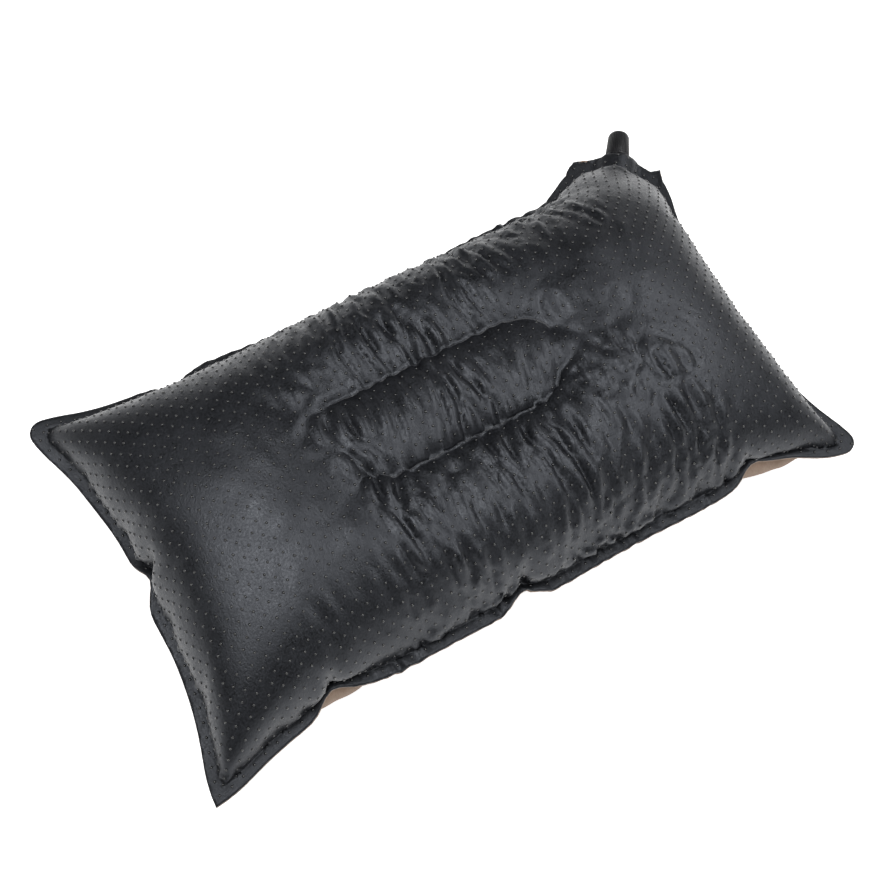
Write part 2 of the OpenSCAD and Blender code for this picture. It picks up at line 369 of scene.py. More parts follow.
def crumple(flat, tris, airy, places):
    # the fine pass, in which the slack breaks up into small creases
    faces, _, free, shared = twoSheets(flat, tris, airy)
    dice = np.random.default_rng(cut["seed"] + 1)
    rest = bothFlat(flat, free)
    spots = rest[:, :2].copy()
    # the rest shape is longer along X in the middle, so the covers gather there in folds along Y
    reach = np.clip(np.abs(rest[:, 0]) / fine["reach"], 0, 1)
    rest[:, 0] += np.sign(rest[:, 0]) * fine["slack"] * fine["reach"] * (reach - reach ** 3 / 3)
    start = places + dice.uniform(-fine["shake"], fine["shake"], places.shape)
    lift = fine["crease"] * ripples(spots, fine["creaseWidth"], fine["creaseLength"], fine["creaseSeed"])
    start[:, 2] += np.where(np.arange(len(rest)) < len(flat), lift, -lift)
    near = distanceToSeam(spots) < cut["onLine"]
    near[len(flat):] = False
    pin = np.where(near, 1.0, 0.0)
    pin[:len(flat)][shared] = 1.0
    soft = freeShare(rest, shared)
    settings = dict(fabric, mass=fine["mass"], tension_stiffness=10, compression_stiffness=fine["squash"],
                    shear_stiffness=4, bending_stiffness=fine["bend"], uniform_pressure_force=fine["push"])
    groups = {"pressure": soft, "mass": pin}
    return runCloth("crumple", rest, start, faces, settings, groups, fine["frames"])


def shapeCovers():
    flat, tris, airy = cutSheet()
    print("cut", len(flat), "points", len(tris), "triangles")
    places, under = blowUp(flat, tris, airy)
    print("blown up to", np.ptp(places, axis=0).round(4))
    places = ironEdge(flat, tris, airy, places)
    flat, tris, airy, (top, bottom) = finer(flat, tris, airy, [places[:len(flat)], places[under]])
    _, under, free, _ = twoSheets(flat, tris, airy)
    places = crumple(flat, tris, airy, np.concatenate([top, bottom[free]]))
    print("creased to", np.ptp(places, axis=0).round(4))
    return flat, tris, airy, places[:len(flat)], places[under]


# laying the shape on the frame
turn = next(j for j in frame["joints"] if j["name"] == "cap_turn")
valveMid = np.array(turn["pos_m"])           # middle of the tab's edge
valveOut = np.array(turn["axis"]) / np.linalg.norm(turn["axis"])
valveSide = np.array([valveOut[1], -valveOut[0], 0.0])
flatMid = np.array([0.2312, 0.1408])         # the same place on the flat cut

creases = {
    "passes": 14,             # rounds of smoothing that tell a crease from the belly under it
    "middle": 1.60,           # the creases of the middle, as a share of what the cloth made
    "under": 0.50,            # the same for the underside, which lies taut
    "ends": 0.15,
    "start": (-0.115, -0.060),    # where the middle begins and ends along X
    "stop": (0.180, 0.135),
    "knot": (0.108, 0.030),   # where the seam's two ends meet, the creases cross and are calmed
    "knotSize": (0.080, 0.060),
    "knotCalm": 0.85,
    "weld": (0.24, 0.14),
    "edgeBand": 0.006,        # from the weld
}

lay = {
    "scale": (0.977, 0.958, 0.950),
    "slide": (0.0055, 0.0095),
    "slideReach": (0.24, 0.14),
    "fill": 0.0040,
    "fillReach": (0.115, 0.070),
    "sink": 1.10,          # how far the belly would hang below the floor, as a share
    "settle": 0.0045,      # softness of the line where it leaves the floor
    "touch": 0.004,
    "seamDepth": 0.0030,   # extra depth of the sharp valley along the oval seam
    "seamSpread": 0.006,
}

tab = {
    "depth": 0.017,        # of the flat part behind the tab's edge
    "halfWidth": 0.028,
    "margin": 0.004,
    "reach": 0.07,         # fabric this near follows the tab
    "fade": 0.065,
    "grip": 0.010,
    "boatHalfWidth": 0.0150,
    "boatHalfHeight": 0.0080,
    "boatRound": 0.9,
    "boatStart": (-0.036, -0.019),
    "boatReach": 0.03,
}

# places along the front where the weld is drawn in, and how far
peeps = [((-0.138, -0.150), 0.0042), ((0.185, -0.150), 0.0046)]
peep = {
    "halfWidth": 0.022,
    "edge": (0.022, 0.008),       # from the cut edge, where the pull of the weld fades in
    "bellyStart": (0.008, 0.016),
    "bellyStop": (0.060, 0.020),
    "lift": 0.004,
    "bulge": 0.9,
}


def evenCreases(flat, tris, airy, sheet, strength):
    # strengthens the creases of the middle and calms them towards the two taut ends
    edges = np.concatenate([tris[:, [0, 1]], tris[:, [1, 2]], tris[:, [2, 0]]])
    edges = np.unique(np.sort(edges, axis=1), axis=0)
    count = np.bincount(edges.reshape(-1), minlength=len(flat)).clip(1)[:, None]
    loose = np.ones(len(flat), bool)
    loose[tris[~airy].reshape(-1)] = False
    calm = sheet.copy()
    for k in range(creases["passes"]):
        total = np.zeros_like(calm)
        np.add.at(total, edges[:, 0], calm[edges[:, 1]])
        np.add.at(total, edges[:, 1], calm[edges[:, 0]])
        calm[loose] = ((calm + total / count) / 2)[loose]
    x, y = flat.T
    middle = smooth(*creases["start"], x) * smooth(*creases["stop"], x)
    halfLength, halfWidth = creases["weld"]
    inner = smooth(0, creases["edgeBand"], np.minimum(halfLength - abs(x), halfWidth - abs(y)))
    away = (flat - creases["knot"]) / creases["knotSize"]
    middle = middle * (1 - creases["knotCalm"] * smooth(1.0, 0.60, np.hypot(*away.T)))
    share = creases["ends"] + middle * (strength - creases["ends"])
    return calm + (sheet - calm) * (1 + inner * (share - 1))[:, None]


# folds that run in from the pinches: from, to, depth and half width
folds = [
    ((-0.246, 0.006), (-0.205, 0.013), 0.0085, 0.0055),
    ((-0.150, -0.146), (-0.147, -0.112), 0.0050, 0.0045),
    ((-0.012, -0.146), (-0.008, -0.108), 0.0055, 0.0045),
    ((0.167, -0.146), (0.160, -0.112), 0.0045, 0.0045),
    ((0.246, -0.009), (0.212, -0.004), 0.0050, 0.0050),
]


def normalsOf(tris, places):
    corner = places[tris]
    face = np.cross(corner[:, 1] - corner[:, 0], corner[:, 2] - corner[:, 0])
    normal = np.zeros(places.shape)
    for k in range(3):
        np.add.at(normal, tris[:, k], face)
    return normal / np.linalg.norm(normal, axis=1)[:, None].clip(1e-12)


def foldIn(flat, tris, held, top):
    # the folds sink into the upper cover, and the weld is left alone
    normal = normalsOf(tris, top)
    for start, end, depth, width in folds:
        start, way = np.array(start), np.array(end) - start
        along = (flat - start) @ way / (way @ way)
        beside = np.linalg.norm(flat - start - np.clip(along, 0, 1)[:, None] * way, axis=1)
        sink = depth * np.exp(-(beside / width) ** 2) * (1 - smooth(0.2, 1.0, along))
        top -= normal * (sink * ~held)[:, None]


def fitToFrame(flat, top, bottom):
    # the covers are centred, set at the height of the valve and brought to the size of the frame
    centre = (top.max(0) + top.min(0)) / 2
    tips = ((-0.25, -0.15), (0.246, -0.146), (-0.246, 0.146))
    corners = [np.argmin(np.linalg.norm(flat - tip, axis=1)) for tip in tips]
    level = top[corners].mean(0)
    shift = np.array([-centre[0], -centre[1], valveMid[2] - level[2]])
    hold = np.array([0, 0, valveMid[2]])
    return [(sheet + shift - hold) * lay["scale"] + hold for sheet in (top, bottom)]


def setOval(flat, top):
    # the upper cover slides a little towards the valve, most at its middle
    x, y = flat.T
    longReach, wideReach = lay["slideReach"]
    reach = np.clip(1 - (x / longReach) ** 2, 0, 1) * np.clip(1 - (y / wideReach) ** 2, 0, 1)
    top[:, :2] += np.outer(reach, lay["slide"])
    # the hollow of the oval fills out, and a sharp valley runs along its seam
    hollow = smooth(1.0, 0.2, np.hypot(*(flat / lay["fillReach"]).T))
    top[:, 2] += lay["fill"] * hollow
    top[:, 2] -= lay["seamDepth"] * np.exp(-distanceToSeam(flat) / lay["seamSpread"])


def carryTab(flat, held, top, bottom):
    # the tab is carried to the valve, and the fabric behind it follows softly
    local = flat - flatMid
    out, side = local @ valveOut[:2], local @ valveSide[:2]
    target = np.column_stack([local + valveMid[:2], np.full(len(flat), valveMid[2])])
    away = np.hypot(np.maximum(-out - tab["depth"], 0), np.maximum(np.abs(side) - tab["halfWidth"], 0))
    firm = held & (away < tab["margin"])
    near = away < tab["reach"]
    gap = np.linalg.norm(flat[near][:, None] - flat[firm][None], axis=2)
    pull = np.exp(-(gap / tab["grip"]) ** 2) + 1e-9
    field = (pull @ (target[firm] - top[firm])) / pull.sum(1)[:, None]
    follow = field * (1 - smooth(0.0, tab["fade"], away[near]))[:, None]
    # both sheets arch over the valve's boat
    arch = tab["boatHalfHeight"] * np.clip(1 - (side / tab["boatHalfWidth"]) ** 2, 0, 1) ** tab["boatRound"]
    along = smooth(*tab["boatStart"], out) * (away < tab["boatReach"])
    for sheet, sign in ((top, 1), (bottom, -1)):
        sheet[near] += follow
        sheet[firm] = target[firm]
        sheet[:, 2] += sign * arch * along


def peepOut(flat, top, bottom):
    # the underside peeps out where the weld is drawn in
    for place, inward in peeps:
        x, y = (flat - place).T
        pull = np.exp(-(x / peep["halfWidth"]) ** 2)
        edge = pull * smooth(*peep["edge"], y)
        belly = pull * smooth(*peep["bellyStart"], y) * smooth(*peep["bellyStop"], y)
        for sheet in (top, bottom):
            sheet += np.outer(edge, (0, inward, peep["lift"]))
        bottom[:, 1] -= belly * inward * peep["bulge"]


def meetFloor(bottom):
    # the underside spreads where it meets the floor
    drop = bottom[:, 2] - valveMid[2]
    low = valveMid[2] + np.where(drop < 0, drop * lay["sink"], drop)
    rounding = 0.5 * lay["settle"] * np.exp(-np.maximum(low, 0) / lay["touch"])
    low = 0.5 * (low + np.sqrt(low ** 2 + lay["settle"] ** 2)) - rounding
    bottom[:, 2] = np.maximum(low, covers["thickness"])


def layDown(flat, tris, airy, top, bottom):
    held = np.zeros(len(flat), bool)
    held[tris[~airy].reshape(-1)] = True
    top = evenCreases(flat, tris, airy, top, creases["middle"])
    bottom = evenCreases(flat, tris, airy, bottom, creases["under"])
    foldIn(flat, tris, held, top)
    top, bottom = fitToFrame(flat, top, bottom)
    setOval(flat, top)
    carryTab(flat, held, top, bottom)
    peepOut(flat, top, bottom)
    meetFloor(bottom)
    return top, bottom


# meshes from the sheets

def newMesh(name, points, faces):
    mesh = bpy.data.meshes.new(name)
    mesh.from_pydata(np.asarray(points).tolist(), [], [list(map(int, f)) for f in faces])
    mesh.update()
    piece = bpy.data.objects.new(name, mesh)
    bpy.context.scene.collection.objects.link(piece)
    for face in mesh.polygons:
        face.use_smooth = True
    return piece


def applyAll(piece):
    bpy.ops.object.select_all(action="DESELECT")
    piece.select_set(True)
    bpy.context.view_layer.objects.active = piece
    for modifier in list(piece.modifiers):
        bpy.ops.object.modifier_apply(modifier=modifier.name)


uvSpan = 0.55   # metres of flat cloth across the whole UV square

covers = {
    "thickness": 0.0009,
}


def makeCover(name, flat, tris, places, upper):
    used = np.unique(tris)
    place = np.full(len(flat), -1)
    place[used] = np.arange(len(used))
    faces = place[tris] if upper else place[tris][:, ::-1]
    piece = newMesh(name, places[used], faces)
    layer = piece.data.uv_layers.new(name="cut")
    corner = np.empty(len(piece.data.loops), int)
    piece.data.loops.foreach_get("vertex_index", corner)
    layer.data.foreach_set("uv", (flat[used][corner] / uvSpan + 0.5).reshape(-1))
    wall = piece.modifiers.new("wall", "SOLIDIFY")
    wall.thickness, wall.offset = covers["thickness"], 1
    wall.material_offset_rim = 1
    wall.use_quality_normals = True
    applyAll(piece)
    return piece


# dots, seam bead and foam

def liftFrom(flat, tris, places, height):
    # a lookup from a point of the flat cut to its place, its normal and its two ways along the cloth
    from3d = [Vector((x, y, 0)) for x, y in flat]
    tree = BVHTree.FromPolygons(from3d, tris.tolist())
    normal = normalsOf(tris, places)

    def at(x, y):
        index = tree.find_nearest(Vector((x, y, 0)))[2]
        tri = tris[index]
        a, b, c = flat[tri]
        area = (b[0] - a[0]) * (c[1] - a[1]) - (b[1] - a[1]) * (c[0] - a[0])
        v = ((x - a[0]) * (c[1] - a[1]) - (y - a[1]) * (c[0] - a[0])) / area
        w = ((b[0] - a[0]) * (y - a[1]) - (b[1] - a[1]) * (x - a[0])) / area
        share = np.array([1 - v - w, v, w])
        up = share @ normal[tri]
        up /= np.linalg.norm(up)
        return share @ places[tri] + up * height, up

    return at


dots = {
    "cell": 0.010,          # one dot at each corner of a cell and one in its middle
    "columns": 52,          # half cells on each side of the middle
    "rows": 33,
    "radius": 0.00095,
    "height": 0.00075,
    "sides": 8,
    "clear": 0.0012,        # bare strip beside a cut edge or a pressed line
}


def domeShape():
    rings = [(1.0, -0.25), (0.90, 0.44), (0.52, 0.85)]    # radius and height, as shares of the dot's
    n = dots["sides"]
    turns = [2 * math.pi * k / n for k in range(n)]
    points = [(dots["radius"] * r * math.cos(t), dots["radius"] * r * math.sin(t), dots["height"] * h)
              for r, h in rings for t in turns]
    faces = [tuple(range(n - 1, -1, -1))]
    for low in range(0, len(points) - n, n):
        faces += [(low + k, low + (k + 1) % n, low + n + (k + 1) % n, low + n + k) for k in range(n)]
    last = len(points) - n
    faces += [(last + k, last + (k + 1) % n, len(points)) for k in range(n)]
    return np.array(points + [(0, 0, dots["height"])]), faces


def makeDots(name, flat, lift):
    dome, domeFaces = domeShape()
    outer = outerLine()
    edge = np.array(spaced(outer, 0.001))
    points, faces = [], []
    half = dots["cell"] / 2
    for i in range(-dots["columns"], dots["columns"] + 1):
        for j in range(-dots["rows"], dots["rows"] + 1):
            x, y = i * half, j * half
            if (i + j) % 2 or not insideLine((x, y), outer):
                continue
            toEdge = np.min(np.hypot(edge[:, 0] - x, edge[:, 1] - y))
            if min(toEdge, distanceToSeam(np.array([[x, y]]))[0]) < dots["clear"]:
                continue
            place, up = lift(x, y)
            side = np.cross(up, (0.0, 1.0, 0.0))
            side /= np.linalg.norm(side)
            ways = np.array([side, np.cross(up, side), up])
            first = len(points) * len(dome)
            points.append(place + dome @ ways)
            faces += [tuple(first + k for k in f) for f in domeFaces]
    piece = newMesh(name, np.concatenate(points), faces)
    print(name, len(points), "dots")
    return piece


bead = {
    "halfWidth": 0.00055,
    "height": 0.00045,
    "step": 0.0014,
    "taper": 5,             # steps over which each end runs out
    "tip": 0.6,
}


def makeBead(name, lift):
    # a low half-round ridge along each pressed line
    points, faces = [], []
    section = [(-1.25, -0.5), (-1, 0.1), (-0.5, 0.8), (0.5, 0.8), (1, 0.1), (1.25, -0.5)]
    n = len(section)
    for line in seamLines:
        run = [np.array(p) for p in spaced(line, bead["step"], False)]
        first = len(points)
        for k, p in enumerate(run):
            way = run[min(k + 1, len(run) - 1)] - run[max(k - 1, 0)]
            ahead, up = lift(*(p + way * 0.2))
            behind, up = lift(*(p - way * 0.2))
            place, up = lift(*p)
            along = (ahead - behind) / np.linalg.norm(ahead - behind)
            across = np.cross(up, along)
            share = min(1, (min(k, len(run) - 1 - k) + bead["tip"]) / bead["taper"])
            points += [place + across * w * bead["halfWidth"] * share + up * h * bead["height"] * share
                       for w, h in section]
            if k:
                a = first + (k - 1) * n
                faces += [(a + i, a + (i + 1) % n, a + n + (i + 1) % n, a + n + i) for i in range(n)]
        last = len(points) - n
        faces += [tuple(first + i for i in range(n - 1, -1, -1)), tuple(last + i for i in range(n))]
    piece = newMesh(name, points, faces)
    recalculate(piece)
    return piece


def recalculate(piece):
    bpy.ops.object.select_all(action="DESELECT")
    bpy.context.view_layer.objects.active = piece
    piece.select_set(True)
    bpy.ops.object.mode_set(mode="EDIT")
    bpy.ops.mesh.select_all(action="SELECT")
    bpy.ops.mesh.normals_make_consistent(inside=False)
    bpy.ops.object.mode_set(mode="OBJECT")


foam = {
    "gap": 0.0016,          # from the inside of the covers
    "drawIn": 0.985,
}


def makeFoam(name, flat, tris, airy, top, bottom):
    faces, _, free, _ = twoSheets(flat, tris, airy)
    places = np.concatenate([top, bottom[free]])
    faces = faces[np.concatenate([airy, np.ones(int(airy.sum()), bool)])]
    used = np.unique(faces)
    place = np.full(len(places), -1)
    place[used] = np.arange(len(used))
    piece = newMesh(name, places[used], place[faces])
    # the faces sink below the covers, and the rim is drawn in from the weld
    mesh = piece.data
    normals = np.empty(len(mesh.vertices) * 3)
    mesh.vertices.foreach_get("normal", normals)
    inward = places[used] - normals.reshape(-1, 3) * foam["gap"]
    inward[:, :2] *= foam["drawIn"]
    mesh.vertices.foreach_set("co", inward.reshape(-1))
    mesh.update()
    return piece


# the cap of the valve
cap = {
    "sides": 160,
    "ribs": 40,
    "ribHeight": 0.00035,
    "ribStart": 0.0015,
    "ribStop": 0.0023,
    "baseRadius": 0.00835,
    "topRadius": 0.00705,
    "start": 0.0017,        # from the edge of the tab
    "length": 0.0205,
    "round": 0.0016,
    "smallRound": 0.0002,
    "soften": 0.00007,
    "mouth": 0.0029,
    "bore": 0.00625,
    "endWall": 0.0055,
    "skirt": 0.0004,        # least wall outside the bore that still takes ribs
    "close": 1e-6,          # heights this near count as the same
    "closeRadius": 1e-5,
}


def editMode(piece):
    bpy.ops.object.select_all(action="DESELECT")
    bpy.context.view_layer.objects.active = piece
    piece.select_set(True)
    bpy.ops.object.mode_set(mode="EDIT")
    bpy.ops.mesh.select_all(action="DESELECT")


def choose(mesh, kind, test):
    # selects the faces or edges whose middle passes the test
    bpy.ops.mesh.select_mode(type=kind)
    bpy.ops.mesh.select_all(action="DESELECT")
    body = bmesh.from_edit_mesh(mesh)
    items = body.faces if kind == "FACE" else body.edges
    for item in items:
        middle = item.calc_center_median() if kind == "FACE" else (item.verts[0].co + item.verts[1].co) / 2
        if test(middle, item):
            item.select_set(True)
    body.select_flush_mode()
    bmesh.update_edit_mesh(mesh)


def heightsOf(edge):
    return [v.co.z for v in edge.verts]


def radiiOf(edge):
    return [v.co.xy.length for v in edge.verts]


def topRim(edge):
    atTop = min(heightsOf(edge)) > cap["length"] - cap["close"]
    return atTop and min(radiiOf(edge)) > cap["topRadius"] - cap["closeRadius"]


def endRim(edge):
    # an edge that runs round one of the flat ends
    atEnd = max(heightsOf(edge)) < cap["close"] or min(heightsOf(edge)) > cap["length"] - cap["close"]
    return atEnd and np.ptp(radiiOf(edge)) < cap["closeRadius"]


def ribStrip(middle):
    # every other pair of strips round the side
    step = 2 * math.pi / cap["ribs"]
    onSide = middle.xy.length > cap["bore"] + cap["skirt"]
    ribbed = cap["ribStart"] < middle.z < cap["length"] - cap["ribStop"]
    return onSide and ribbed and math.atan2(middle.y, middle.x) % step < step / 2


def makeCap(name):
    bpy.ops.object.select_all(action="DESELECT")
    length, close = cap["length"], cap["close"]
    deep = length - cap["endWall"]
    bpy.ops.mesh.primitive_cylinder_add(vertices=cap["sides"], radius=cap["baseRadius"], depth=length,
                                        location=(0, 0, length / 2))
    piece = bpy.context.active_object
    piece.name = piece.data.name = name
    bpy.ops.object.transform_apply(location=True, rotation=True, scale=True)
    mesh = piece.data
    editMode(piece)
    # the taper
    choose(mesh, "FACE", lambda m, f: m.z > length - close)
    share = cap["topRadius"] / cap["baseRadius"]
    bpy.ops.transform.resize(value=(share, share, 1), center_override=(0, 0, length))
    # the mouth in the closed end and the way down into the chamber
    choose(mesh, "FACE", lambda m, f: m.z > length - close)
    bpy.ops.mesh.inset(thickness=cap["topRadius"] - cap["mouth"], depth=0)
    bpy.ops.mesh.extrude_region_move(TRANSFORM_OT_translate={"value": (0, 0, -cap["endWall"])})
    bpy.ops.mesh.delete(type="ONLY_FACE")
    # the bore from the open end, and the wall between bore and mouth
    choose(mesh, "FACE", lambda m, f: m.z < close)
    bpy.ops.mesh.inset(thickness=cap["baseRadius"] - cap["bore"], depth=0)
    bpy.ops.mesh.extrude_region_move(TRANSFORM_OT_translate={"value": (0, 0, deep)})
    bpy.ops.mesh.delete(type="ONLY_FACE")
    choose(mesh, "EDGE", lambda m, e: max(abs(z - deep) for z in heightsOf(e)) < close)
    bpy.ops.mesh.bridge_edge_loops()
    # rounded rims
    choose(mesh, "EDGE", lambda m, e: topRim(e))
    bpy.ops.mesh.bevel(offset=cap["round"], segments=6, affect="EDGES")
    choose(mesh, "EDGE", lambda m, e: endRim(e))
    bpy.ops.mesh.bevel(offset=cap["smallRound"], segments=2, affect="EDGES")
    # the lengths that carry ribs are cut off from the plain ends, and the ribs grow out
    for height in (cap["ribStart"], length - cap["ribStop"]):
        bpy.ops.mesh.select_all(action="SELECT")
        bpy.ops.mesh.bisect(plane_co=(0, 0, height), plane_no=(0, 0, 1))
    choose(mesh, "FACE", lambda m, f: ribStrip(m))
    bpy.ops.mesh.extrude_region_shrink_fatten(TRANSFORM_OT_shrink_fatten={"value": cap["ribHeight"]})
    bpy.ops.object.mode_set(mode="OBJECT")
    soften = piece.modifiers.new("soften", "BEVEL")
    soften.width, soften.segments, soften.limit_method = cap["soften"], 2, "ANGLE"
    soften.angle_limit = math.radians(40)
    applyAll(piece)
    # the cap's own Z turns to the way out of the valve
    foot = valveMid + valveOut * cap["start"]
    ways = ((0, 0, 1), valveSide, valveOut)
    mesh.transform(Matrix([[way[k] for way in ways] + [foot[k]] for k in range(3)] + [[0, 0, 0, 1]]))
    mesh.update()
    recalculate(piece)
    bpy.ops.object.shade_smooth_by_angle(angle=math.radians(35))
    return piece


# finishes
def toLinear(code):
    parts = [int(code[i:i + 2], 16) / 255 for i in (1, 3, 5)]
    return tuple(p / 12.92 if p <= 0.04045 else ((p + 0.055) / 1.055) ** 2.4 for p in parts) + (1,)


def setInputs(tree, node, inputs):
    # an input takes a plain value, a socket, or a node, whose first output is then meant
    for key, value in inputs.items():
        if isinstance(value, bpy.types.Node):
            value = value.outputs[0]
        if isinstance(value, bpy.types.NodeSocket):
            tree.links.new(value, node.inputs[key])
        else:
            node.inputs[key].default_value = value


def addNode(tree, kind, inputs=None, **settings):
    made = tree.nodes.new("ShaderNode" + kind)
    for key, value in settings.items():
        setattr(made, key, value)
    setInputs(tree, made, inputs or {})
    return made


def newFinish(name, **values):
    finish = bpy.data.materials.new(name)
    finish.use_nodes = True
    shader = finish.node_tree.nodes["Principled BSDF"]
    setInputs(finish.node_tree, shader, {key.replace("_", " "): value for key, value in values.items()})
    return finish, finish.node_tree, shader


def clothPlace(tree):
    # the flat cloth in metres, from the UV map of the cut
    uv = addNode(tree, "UVMap", uv_map="cut")
    return addNode(tree, "Mapping", {"Vector": uv, "Scale": (uvSpan, uvSpan, 1)})


def twoTones(tree, value, dark, pale, low=0.3, high=0.7):
    # from the dark tone at low to the pale one at high
    ramp = addNode(tree, "ValToRGB", {"Fac": value})
    first, last = ramp.color_ramp.elements
    first.position, first.color = low, toLinear(dark)
    last.position, last.color = high, toLinear(pale)
    return ramp


def weldBorder(tree, place):
    # 1 over the welded border of the flat cloth, 0 inside it, with a soft millimetre between
    apart = addNode(tree, "SeparateXYZ", {0: place})
    beyond = []
    for way, half in zip(apart.outputs, (cut["length"] / 2, cut["width"] / 2)):
        offset = addNode(tree, "Math", {0: way, 1: uvSpan / 2}, operation="SUBTRACT")
        offset = addNode(tree, "Math", {0: offset}, operation="ABSOLUTE")
        beyond.append(addNode(tree, "Math", {0: offset, 1: half - weldShine["inset"]}, operation="SUBTRACT"))
    most = addNode(tree, "Math", {0: beyond[0], 1: beyond[1]}, operation="MAXIMUM")
    return addNode(tree, "MapRange", {"Value": most, "From Min": 0, "From Max": weldShine["soft"]})


weldShine = {
    "inset": 0.0108,    # width of the border, with the edge of the weld
    "soft": 0.001,
    "tone": -0.2,       # the nap is pressed flat there, so the cloth is darker and duller
    "rough": 0.08,
}


# Brushed peach-skin polyester, laminated: a short nap that scatters light softly, with a faint cloudy sheen
# where it lies over. The real nap is about 0.1 mm, drawn at 1.3 mm so that it shows.
def peachSkin():
    finish, tree, shader = newFinish("brushed peach-skin polyester", Specular_IOR_Level=0.66,
                                     Specular_Tint=toLinear("#e3e8f2"), Sheen_Weight=0.02,
                                     Sheen_Roughness=0.35, Sheen_Tint=toLinear("#a9aebc"))
    place = clothPlace(tree)
    nap = addNode(tree, "TexNoise", {"Vector": place, "Scale": 1 / 0.0013, "Detail": 3, "Roughness": 0.65})
    cloud = addNode(tree, "TexNoise", {"Vector": place, "Scale": 1 / 0.016, "Detail": 3, "Roughness": 0.6})
    border = weldBorder(tree, place)
    napTone = addNode(tree, "MapRange", {"Value": nap, "From Min": 0.38, "From Max": 0.62, "To Max": 0.70})
    cloudTone = addNode(tree, "MapRange", {"Value": cloud, "From Min": 0.3, "From Max": 0.7, "To Max": 0.30})
    tone = addNode(tree, "Math", {0: napTone, 1: cloudTone}, operation="ADD")
    tone = addNode(tree, "Math", {0: border, 1: weldShine["tone"], 2: tone}, operation="MULTIPLY_ADD")
    napRough = addNode(tree, "MapRange", {"Value": nap, "From Min": 0.36, "From Max": 0.64,
                                          "To Min": 0.29, "To Max": 0.50})
    cloudRough = addNode(tree, "MapRange", {"Value": cloud, "From Min": 0.3, "From Max": 0.7,
                                            "To Min": -0.05, "To Max": 0.07})
    rough = addNode(tree, "Math", {0: napRough, 1: cloudRough}, operation="ADD")
    rough = addNode(tree, "Math", {0: border, 1: weldShine["rough"], 2: rough}, operation="MULTIPLY_ADD")
    stretched = addNode(tree, "Mapping", {"Vector": place, "Scale": (1.6, 0.8, 1)})
    tufts = addNode(tree, "TexNoise", {"Vector": stretched, "Scale": 1 / 0.0028, "Detail": 2,
                                       "Roughness": 0.5})
    height = addNode(tree, "Math", {0: tufts, 1: 0.8, 2: nap}, operation="MULTIPLY_ADD")
    bump = addNode(tree, "Bump", {"Height": height, "Distance": 0.0003, "Strength": 0.6})
    setInputs(tree, shader, {"Base Color": twoTones(tree, tone, "#08090a", "#1a1b1f", 0.1, 0.9),
                             "Roughness": rough, "Normal": bump})
    return finish


# Printed rubber grip dots: smooth, so each one carries a pinpoint of light on a dark side.
def gripRubber():
    finish, tree, shader = newFinish("printed PVC grip dots", IOR=1.55, Coat_Weight=0.8, Coat_Roughness=0.08)
    place = addNode(tree, "TexCoord").outputs["Object"]
    spread = addNode(tree, "TexNoise", {"Vector": place, "Scale": 1 / 0.012, "Detail": 2, "Roughness": 0.6})
    rough = addNode(tree, "MapRange", {"Value": spread, "From Min": 0.3, "From Max": 0.7,
                                       "To Min": 0.07, "To Max": 0.16})
    setInputs(tree, shader, {"Base Color": twoTones(tree, spread, "#0a0a0b", "#161719"), "Roughness": rough})
    return finish


# The hot-pressed line of the seam: the nap is melted flat, so it shines a little more than the cloth; its
# colour is also painted much lighter than the cloth, a painted highlight along the line.
def pressedLine():
    finish, tree, shader = newFinish("hot-pressed polyester, painted highlight", IOR=1.5)
    place = addNode(tree, "TexCoord").outputs["Object"]
    grain = addNode(tree, "TexNoise", {"Vector": place, "Scale": 1 / 0.0015, "Detail": 3, "Roughness": 0.6})
    rough = addNode(tree, "MapRange", {"Value": grain, "From Min": 0.3, "From Max": 0.7,
                                       "To Min": 0.30, "To Max": 0.46})
    bump = addNode(tree, "Bump", {"Height": grain, "Distance": 0.0001, "Strength": 0.4})
    # the pale tones are a painted highlight: the line is drawn lighter than the black cloth it is pressed
    # from
    setInputs(tree, shader, {"Base Color": twoTones(tree, grain, "#2b2c2f", "#45464a"),
                             "Roughness": rough, "Normal": bump})
    return finish


# Suede-finish polyester of the underside: a longer matt nap, brushed one way and a little uneven in tone.
def suede():
    finish, tree, shader = newFinish("suede-finish polyester", IOR=1.48, Sheen_Weight=0.35,
                                     Sheen_Roughness=0.5, Sheen_Tint=toLinear("#efe3d8"))
    place = clothPlace(tree)
    brushed = addNode(tree, "Mapping", {"Vector": place, "Scale": (1.0, 0.55, 1)})
    nap = addNode(tree, "TexNoise", {"Vector": brushed, "Scale": 1 / 0.0013, "Detail": 4, "Roughness": 0.7})
    cloud = addNode(tree, "TexNoise", {"Vector": place, "Scale": 1 / 0.022, "Detail": 4, "Roughness": 0.6})
    halves = [addNode(tree, "MapRange", {"Value": part, "From Min": 0.3, "From Max": 0.7, "To Max": 0.5})
              for part in (nap, cloud)]
    tone = addNode(tree, "Math", {0: halves[0], 1: halves[1]}, operation="ADD")
    rough = addNode(tree, "MapRange", {"Value": nap, "From Min": 0.3, "From Max": 0.7,
                                       "To Min": 0.78, "To Max": 0.95})
    bump = addNode(tree, "Bump", {"Height": nap, "Distance": 0.00025, "Strength": 0.6})
    setInputs(tree, shader, {"Base Color": twoTones(tree, tone, "#947b69", "#b59e8c", 0.1, 0.9),
                             "Roughness": rough, "Normal": bump})
    return finish


# The cut edge of the weld shows the laminate, smooth and a shade off the cloth.
def cutEdge(name, dark, pale):
    finish, tree, shader = newFinish(name, IOR=1.5)
    place = addNode(tree, "TexCoord").outputs["Object"]
    grain = addNode(tree, "TexNoise", {"Vector": place, "Scale": 1 / 0.0018, "Detail": 3, "Roughness": 0.6})
    rough = addNode(tree, "MapRange", {"Value": grain, "From Min": 0.3, "From Max": 0.7,
                                       "To Min": 0.45, "To Max": 0.65})
    setInputs(tree, shader, {"Base Color": twoTones(tree, grain, dark, pale), "Roughness": rough})
    return finish
